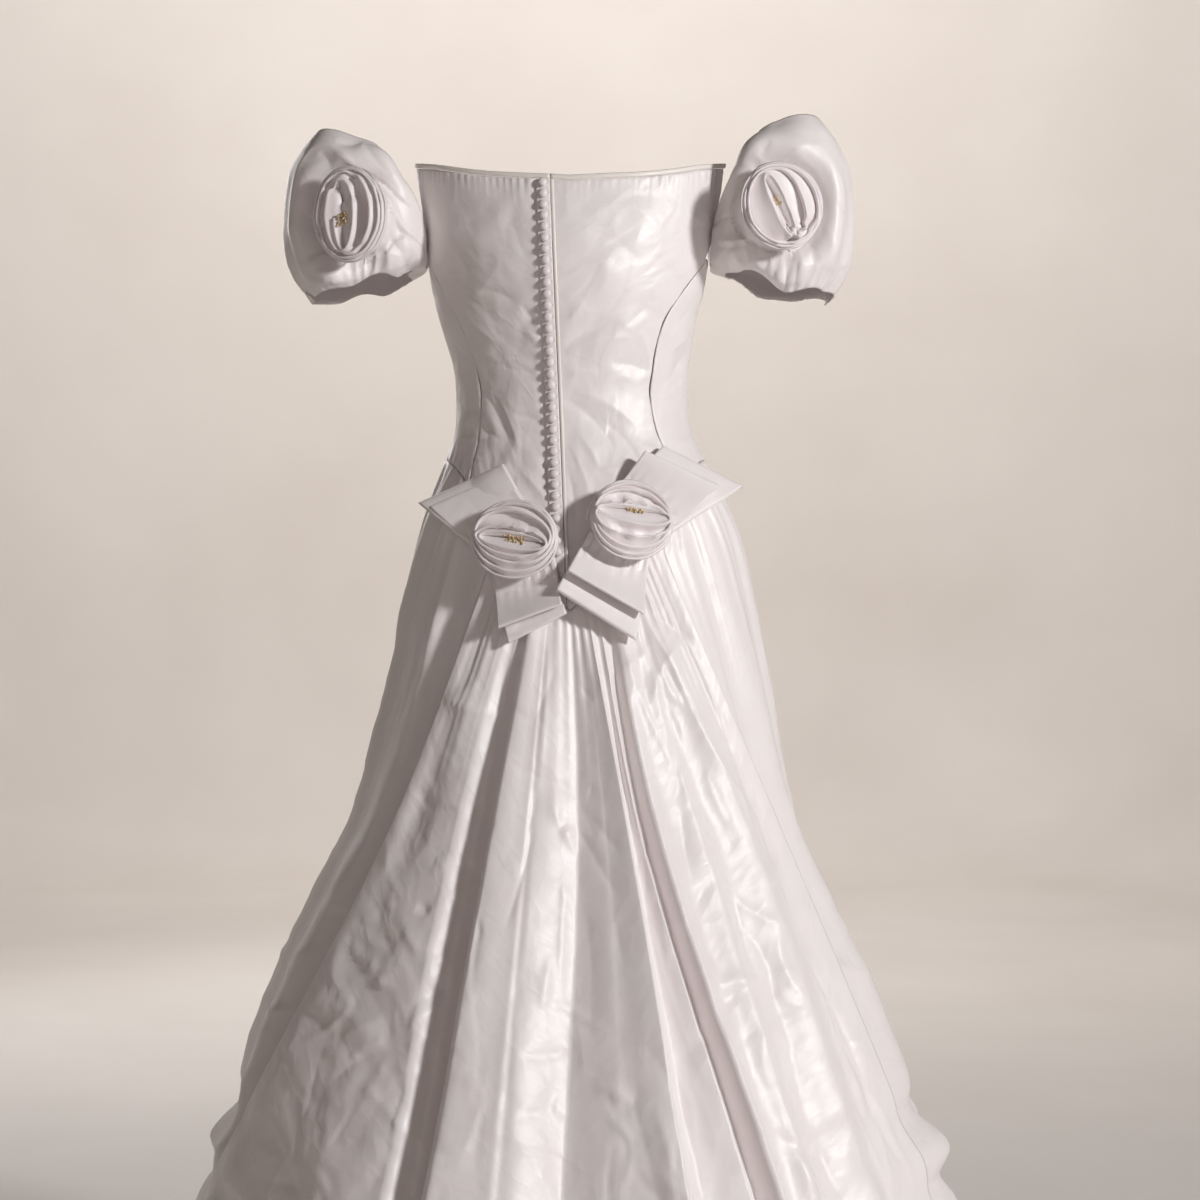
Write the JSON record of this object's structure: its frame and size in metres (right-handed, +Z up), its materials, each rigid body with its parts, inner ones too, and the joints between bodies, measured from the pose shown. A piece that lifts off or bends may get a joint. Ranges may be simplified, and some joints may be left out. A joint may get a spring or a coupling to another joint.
{
  "type": "ball gown",
  "caption": "Floor-length ball gown with a fitted off-shoulder bodice buttoned down the back, puffed sleeves, a pointed waist and a full gathered skirt, with fabric roses and bows.",
  "frame": {"origin": "centre of the natural waist, inside the bodice, where the wearer's waist holds the gown", "axes": "+Z up, from the hem to the neck; the wearer faces -Y, so the buttons are on the +Y side; +X is the wearer's left"},
  "size_m": [0.9989, 0.9892, 1.3629],
  "materials": {
    "blush_taffeta": "crisp woven taffeta with a soft sheen",
    "rose_taffeta": "folded bias taffeta with a soft sheen",
    "covered_button": "taffeta stretched over a dome",
    "neck_binding": "folded ivory binding"
  },
  "bodies": {
    "root": {"bodice_back_left": "blush_taffeta", "bodice_back_right": "blush_taffeta", "bodice_side_back_left": "blush_taffeta", "bodice_side_back_right": "blush_taffeta", "bodice_side_front_left": "blush_taffeta", "bodice_side_front_right": "blush_taffeta", "bodice_front": "blush_taffeta", "neck_binding_back_left": "neck_binding", "neck_binding_back_right": "neck_binding", "neck_binding_front": "neck_binding", "button_placket": "blush_taffeta", "loop_piping": "blush_taffeta", "button_01": "covered_button", "button_02": "covered_button", "button_03": "covered_button", "button_04": "covered_button", "button_05": "covered_button", "button_06": "covered_button", "button_07": "covered_button", "button_08": "covered_button", "button_09": "covered_button", "button_10": "covered_button", "button_11": "covered_button", "button_12": "covered_button", "button_13": "covered_button", "button_14": "covered_button", "button_15": "covered_button", "button_16": "covered_button", "button_17": "covered_button", "button_18": "covered_button", "button_19": "covered_button", "button_20": "covered_button", "button_21": "covered_button", "button_22": "covered_button", "button_23": "covered_button", "button_24": "covered_button", "button_25": "covered_button", "button_26": "covered_button", "button_27": "covered_button", "button_28": "covered_button", "button_29": "covered_button", "button_30": "covered_button", "button_31": "covered_button", "button_32": "covered_button", "button_33": "covered_button", "button_34": "covered_button", "skirt_back": "blush_taffeta", "skirt_side_left": "blush_taffeta", "skirt_side_right": "blush_taffeta", "skirt_front": "blush_taffeta", "sleeve_left": "blush_taffeta", "sleeve_right": "blush_taffeta", "sleeve_rose_left": "rose_taffeta", "sleeve_rose_right": "rose_taffeta", "waist_rose_left": "rose_taffeta", "waist_rose_right": "rose_taffeta", "bow_upper_left": "blush_taffeta", "bow_upper_right": "blush_taffeta", "bow_lower_left": "blush_taffeta", "bow_lower_right": "blush_taffeta"}
  },
  "joints": []
}
